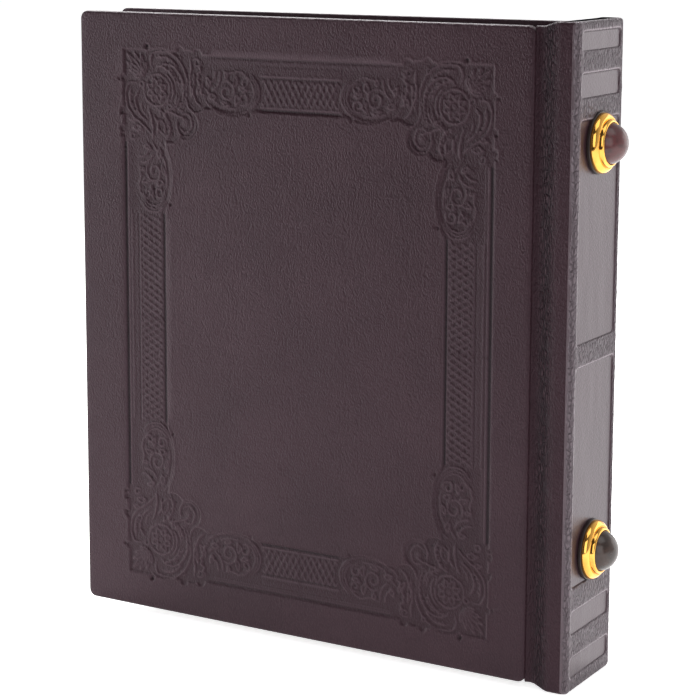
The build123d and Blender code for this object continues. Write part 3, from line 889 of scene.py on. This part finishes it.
def spine_outline():
    """Outline of the spine's U in plan, outer side first, with the outward direction at each point."""
    radius = 2.4
    steps = 9
    points = [(x, -SPINE_HALF + 0.3, 0.0, -1.0) for x in (SHOULDER_EDGE, 108.2, 109.4, 110.6, 111.2)]
    points += [(111.6, -SPINE_HALF + 0.12, 0.0, -1.0), (112.0, -SPINE_HALF + 0.02, 0.0, -1.0)]
    for k in range(steps + 1):
        a = math.pi / 2 * k / steps
        points.append((SPINE_FACE - radius + radius * math.sin(a),
                       -SPINE_HALF + radius - radius * math.cos(a), math.sin(a), -math.cos(a)))
    ys = sorted({*np.round(np.arange(-20.4, 20.5, 0.6), 3), *np.round(np.arange(18.5, 20.2, 0.2), 3),
                 *np.round(-np.arange(18.5, 20.2, 0.2), 3)})
    points += [(SPINE_FACE, float(y), 1.0, 0.0) for y in ys]
    mirrored = [(x, -y, nx, -ny) for x, y, nx, ny in reversed(points[:len(points) - len(ys)])]
    points += mirrored
    inner_y = 19.4
    inner_x = 111.1
    inner = [(SHOULDER_EDGE, inner_y, 0.0, -1.0), (109.0, inner_y, 0.0, -1.0)]
    inner += [(inner_x, inner_y, -0.7, -0.7)]
    inner += [(inner_x, y, -1.0, 0.0) for y in (12.0, 4.0, -4.0, -12.0)]
    inner += [(inner_x, -inner_y, -0.7, 0.7)]
    inner += [(109.0, -inner_y, 0.0, 1.0), (SHOULDER_EDGE, -inner_y, 0.0, 1.0)]
    return points + inner


def spine_skin():
    """The spine's leather: raised grained bands between smooth pressed panels."""
    outline = spine_outline()
    levels = {round(float(z), 3) for z in np.arange(1.0, SPINE_TOP, 1.0)}
    for edge in [edge for panel in PANELS for edge in panel]:
        levels |= {round(edge + d, 3) for d in (-0.9, -0.7, -0.5, -0.3, -0.1, 0.1, 0.3, 0.5, 0.7, 0.9)}
    rounded = 1.6
    ends = (0.0, 0.05, 0.18, 0.4, 0.7, 1.1, 1.6)
    levels = {z for z in levels if rounded < z < SPINE_TOP - rounded}
    levels |= {round(z, 3) for z in ends} | {round(SPINE_TOP - z, 3) for z in ends}
    levels = sorted(levels)
    count = len(outline)

    def place(i, j):
        x, y, nx, ny = outline[i % count]
        z = levels[j]
        near = min(z, SPINE_TOP - z)
        inset = rounded * (1 - math.sqrt(max(0.0, 1 - (1 - min(near, rounded) / rounded) ** 2)))
        wave = 0.06 * noise.noise(Vector((y * 0.16, z * 0.05, x * 0.1)))
        if x > SPINE_FACE - 0.05:
            share = panel_share(y, z)
            wrinkle = noise.noise(Vector((y * 0.9, z * 0.5, 4.0)))
            wrinkle += 0.6 * noise.noise(Vector((y * 1.7, z * 1.0, 8.0)))
            edge_crease = max(0.0, abs(y) - 18.6) * noise.noise(Vector((y * 1.6, z * 0.10, 3.0)))
            x += wave - PANEL_DEPTH * share + (0.10 * wrinkle + 0.09 * edge_crease) * (1 - share) - 0.06
        elif x > SPINE_FACE - 2.3 and i % count < count - 10:
            inset += 0.10 + 0.12 * noise.noise(Vector((x * 1.3, z * 0.12, y)))
        return x - nx * inset, y - ny * inset, z

    bm = woven(count, len(levels) - 1, place)
    bmesh.ops.remove_doubles(bm, verts=bm.verts, dist=0.00001)
    bmesh.ops.holes_fill(bm, edges=[e for e in bm.edges if e.is_boundary], sides=0)
    band = bm.verts.layers.float.new("band")
    lip = bm.verts.layers.float.new("lip")
    for vert in bm.verts:
        x, y, z = vert.co / MM
        sunk_share = panel_share(y, z)
        share = sunk_share if x > SPINE_FACE - 1.5 else 0.0
        # lip: where the painted highlight lies along the panel edges
        vert[lip] = max(0.0, 1.0 - abs(share - 0.14) / 0.17) * lip_highlight_share(y, z)
        vert[band] = 1.0 - sunk_share if x > SPINE_FACE - 2.0 else 0.0
    bmesh.ops.recalc_face_normals(bm, faces=bm.faces)
    piece = finished("spine_skin", bm, spine_calf)
    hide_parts("spine_leather")
    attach(piece, "spine")


def band_grain():
    """Coarse wrinkled grain on raised bands, painted highlight and shade; pressed panels stay smooth and
    glossy.
    """
    tree = spine_calf.node_tree
    shader = tree.nodes["Principled BSDF"]
    place = [n for n in tree.nodes if n.type == "TEX_COORD"][0].outputs["Object"]
    band = stored(tree, "band")
    slanted = stretched(tree, place, (1.0, 1.0, 0.42), (0.3, 0.0, 0.0))
    wrinkles = cells(tree, slanted, 860.0, "DISTANCE_TO_EDGE")
    plump = ramp(tree, wrinkles, [(0.0, (0.0, 0.0, 0.0)), (0.30, (1.0, 1.0, 1.0))])
    coarse = sums(tree, "MULTIPLY", plump, band)
    under = shader.inputs["Normal"].links[0].from_socket
    raised(tree, shader, coarse, 0.00060, 1.0, under)
    crease = sums(tree, "SUBTRACT", band, coarse)
    tone = shader.inputs["Base Color"].links[0].from_socket
    # painted highlight: wrinkle tops on the bands blended towards a pale colour
    tone = blended(tree, sums(tree, "MULTIPLY", coarse, 0.6), tone, (0.125, 0.098, 0.110))
    # painted shade: the creases between the wrinkles darkened
    tree.links.new(blended(tree, crease, tone, (0.022, 0.013, 0.017)), shader.inputs["Base Color"])
    # painted highlight: a pale streak along the panel lips
    painted_highlight = sums(tree, "MULTIPLY", stored(tree, "lip"), 0.9)
    tone = shader.inputs["Base Color"].links[0].from_socket
    tree.links.new(blended(tree, painted_highlight, tone, (0.40, 0.34, 0.37)), shader.inputs["Base Color"])
    rough = sums(tree, "ADD", sums(tree, "MULTIPLY", band, 0.08), 0.34)
    tree.links.new(rough, shader.inputs["Roughness"])


def groove_grain():
    """Upright creases where the leather bends, with painted shade at their bottom."""
    tree = groove_calf.node_tree
    shader = tree.nodes["Principled BSDF"]
    place = [n for n in tree.nodes if n.type == "TEX_COORD"][0].outputs["Object"]
    fold = stored(tree, "fold")
    bent = stretched(tree, place, (1.0, 0.6, 0.26), (0.0, 0.20, 0.0))
    creases = cells(tree, bent, 980.0, "DISTANCE_TO_EDGE")
    full = ramp(tree, creases, [(0.0, (0.0, 0.0, 0.0)), (0.25, (1.0, 1.0, 1.0))])
    plump = sums(tree, "MULTIPLY", full, fold)
    under = shader.inputs["Normal"].links[0].from_socket
    raised(tree, shader, plump, 0.00060, 1.0, under)
    # painted shade: the crease bottoms blended towards near black
    dark = sums(tree, "MULTIPLY", sums(tree, "SUBTRACT", fold, plump), 1.0)
    tone = shader.inputs["Base Color"].links[0].from_socket
    tree.links.new(blended(tree, dark, tone, (0.008, 0.004, 0.006)), shader.inputs["Base Color"])


band_grain()
groove_grain()
spine_skin()


# ---- bolts --------------------------------------------------------------------------------------------
def turned(name, height, profile, material, node):
    """A piece turned on the bolt's axis from (x, radius) points, closed or with both ends on the axis."""
    bm = bmesh.new()
    verts = [bm.verts.new((x * MM, 0.0, (height + radius) * MM)) for x, radius in profile]
    edges = [bm.edges.new(pair) for pair in zip(verts, verts[1:])]
    bmesh.ops.spin(bm, geom=verts + edges, cent=(0.0, 0.0, height * MM), axis=(1.0, 0.0, 0.0),
                   angle=2 * math.pi, steps=112, use_merge=True)
    bmesh.ops.remove_doubles(bm, verts=bm.verts, dist=0.000001)
    bmesh.ops.recalc_face_normals(bm, faces=bm.faces)
    piece = finished(name, bm, material)
    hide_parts(node)
    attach(piece, "spine")


# The gilt bezel as (height over the washer, radius): stem hole, rounded flange, groove, collar and lip
BEZEL = [(1.5, 2.0), (0.0, 2.0), (0.0, 12.05), (0.12, 12.22), (0.4, 12.3), (0.8, 12.28), (1.2, 12.2),
         (1.6, 12.04), (2.0, 11.8), (2.35, 11.5), (2.65, 11.16), (2.88, 10.82), (3.0, 10.55), (3.02, 10.4),
         (2.92, 10.26), (2.72, 10.14), (2.62, 10.0), (2.68, 9.88), (2.85, 9.8), (3.3, 9.74), (3.75, 9.64),
         (4.15, 9.48), (4.45, 9.24), (4.63, 8.95), (4.68, 8.7), (4.6, 8.52), (4.35, 8.44), (1.5, 8.44),
         (1.5, 2.0)]
STONE_RADIUS = 8.38
STONE_GIRDLE = 4.1
STONE_TOP = 10.75


def arc_profile(x, radius, size, start, end, count):
    """Points of a quarter round in the (x, radius) plane, angles in degrees from +x."""
    made = []
    for k in range(count + 1):
        a = math.radians(start + (end - start) * k / count)
        made.append((x + size * math.cos(a), radius + size * math.sin(a)))
    return made


def bolt(name, height, stone_material, stone_slot):
    """Dark washer, gilt flange with a groove, bezel and cabochon."""
    seat = SPINE_FACE - PANEL_DEPTH
    flange = seat + 1.4
    washer = [(seat, 2.0), (seat, 12.4), *arc_profile(seat + 0.2, 12.4, 0.2, 180, 90, 3)[1:],
              *arc_profile(flange - 0.25, 12.35, 0.25, 90, 0, 4), (flange, 2.0), (seat, 2.0)]
    turned(f"{name}_bolt_washer", height, washer, lacquer, "bolt_washers")
    bezel = [(flange + x, r) for x, r in BEZEL]
    turned(f"{name}_bolt_bezel", height, bezel, gilt, f"{name}_bezel")
    centre = (STONE_TOP ** 2 - STONE_GIRDLE ** 2 - STONE_RADIUS ** 2) / (2 * (STONE_TOP - STONE_GIRDLE))
    size = STONE_TOP - centre
    edge = math.asin(STONE_RADIUS / size)
    slopes = [edge * (1 - k / 26) for k in range(26)]
    dome = [(flange + centre + size * math.cos(slope), size * math.sin(slope)) for slope in slopes]
    stone = [(flange + 2.8, 0.0), (flange + 2.8, STONE_RADIUS), *dome, (flange + STONE_TOP, 0.0)]
    turned(f"{name}_cabochon", height, stone, stone_material, f"{name}_stone")


bolt("upper", BOLT_HEIGHTS["upper"], garnet, "garnet_stone")
bolt("lower", BOLT_HEIGHTS["lower"], smoky, "smoky_stone")

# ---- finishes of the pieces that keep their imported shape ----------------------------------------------
FINISHES = {
    "cover_leather": cover_leather, "grey_board": grey_board, "endpaper": paper, "lining_cloth": cloth,
    "plated_steel": nickel, "gilt_metal": gilt, "garnet_stone": garnet, "smoky_stone": smoky,
    "dark_washer": lacquer, "leaf_card": card, "clear_film": film,
}
for subpart in frame["record"]["subparts"]:
    node = frame["nodes"][subpart["node"]]
    for place_in_mesh in node.material_slots:
        place_in_mesh.material = FINISHES[subpart["material_slot"]]


# ---- studio -------------------------------------------------------------------------------------------
def studio_finish(name, colour, rough):
    """Matt paper for the sweep."""
    material, tree, shader, place = new_finish(name)
    tone = cloud(tree, place, 2.0, 2.0)
    dark = tuple(c * 0.985 for c in colour)
    tree.links.new(ramp(tree, tone, [(0.3, dark), (0.7, colour)]), shader.inputs["Base Color"])
    shader.inputs["Roughness"].default_value = rough
    shader.inputs["Emission Color"].default_value = (1.0, 1.0, 1.0, 1.0)
    shader.inputs["Emission Strength"].default_value = 0.76
    return material


bm = bmesh.new()
bmesh.ops.create_grid(bm, x_segments=24, y_segments=24, size=14.0)
bmesh.ops.translate(bm, vec=(0.0, 13.52, 0.0), verts=bm.verts)
floor_mesh = bpy.data.meshes.new("floor")
bm.to_mesh(floor_mesh)
bm.free()
floor_mesh.materials.append(studio_finish("pale_floor", (0.90, 0.90, 0.90), 0.6))
floor_piece = bpy.data.objects.new("floor", floor_mesh)
bpy.context.scene.collection.objects.link(floor_piece)


def soft_light(name, place, aim, size, power):
    """A large soft box aimed at a point."""
    data = bpy.data.lights.new(name, "AREA")
    data.shape = "RECTANGLE"
    data.size = size[0]
    data.size_y = size[1]
    data.energy = power
    light = bpy.data.objects.new(name, data)
    bpy.context.scene.collection.objects.link(light)
    light.location = place
    light.rotation_mode = "QUATERNION"
    light.rotation_quaternion = (Vector(aim) - Vector(place)).to_track_quat("-Z", "Y")


soft_light("left_box", (-1.5, -0.75, 0.14), (0.0, 0.0, 0.14), (0.9, 0.8), 16.5)
soft_light("right_box", (1.0, 1.5, 0.45), (0.1, 0.0, 0.14), (1.6, 1.1), 8.0)
soft_light("front_strip", (0.9, -1.2, 0.55), (0.11, 0.0, 0.14), (1.0, 1.2), 6.5)
soft_light("top_box", (0.5, -0.2, 1.25), (0.1, 0.0, 0.2), (0.8, 0.8), 3.0)
soft_light("back_box", (-0.58, 0.50, 1.0), (0.0, 0.0, 0.27), (0.9, 1.0), 24.0)

world = bpy.data.worlds.new("studio")
world.use_nodes = True
sky = world.node_tree
direction = sky.nodes.new("ShaderNodeTexCoord")
towards_back = sky.nodes.new("ShaderNodeVectorMath")
towards_back.operation = "DOT_PRODUCT"
towards_back.inputs[1].default_value = (0.50, 0.80, -0.22)
sky.links.new(direction.outputs["Generated"], towards_back.inputs[0])
tent = spread(sky, towards_back.outputs["Value"], 0.06, 0.72, -0.35, 0.60)
seen = sky.nodes.new("ShaderNodeLightPath")
sky.links.new(sums(sky, "MAXIMUM", tent, seen.outputs["Is Camera Ray"]),
              sky.nodes["Background"].inputs["Strength"])
sky.nodes["Background"].inputs["Color"].default_value = (1.0, 1.0, 1.0, 1.0)
bpy.context.scene.world = world
bpy.context.scene.view_settings.view_transform = "Standard"

# ---- camera -------------------------------------------------------------------------------------------
CAMERA_PLACE = Vector((0.46483, -0.81768, 0.31566))
yaw = math.radians(29.58)
pitch = math.radians(9.51)
roll = math.radians(0.235)
ahead = Vector((-math.sin(yaw) * math.cos(pitch), math.cos(yaw) * math.cos(pitch), -math.sin(pitch)))
level = Vector((math.cos(yaw), math.sin(yaw), 0.0))
upright = level.cross(ahead)
right = math.cos(roll) * level + math.sin(roll) * upright
above = math.cos(roll) * upright - math.sin(roll) * level
camera_data = bpy.data.cameras.new("camera")
camera_data.sensor_width = 36.0
camera_data.lens = 114.7
camera_data.shift_y = -0.1
camera = bpy.data.objects.new("camera", camera_data)
bpy.context.scene.collection.objects.link(camera)
camera.matrix_world = Matrix.Translation(CAMERA_PLACE) @ Matrix((right, above, -ahead)).transposed().to_4x4()
bpy.context.scene.camera = camera
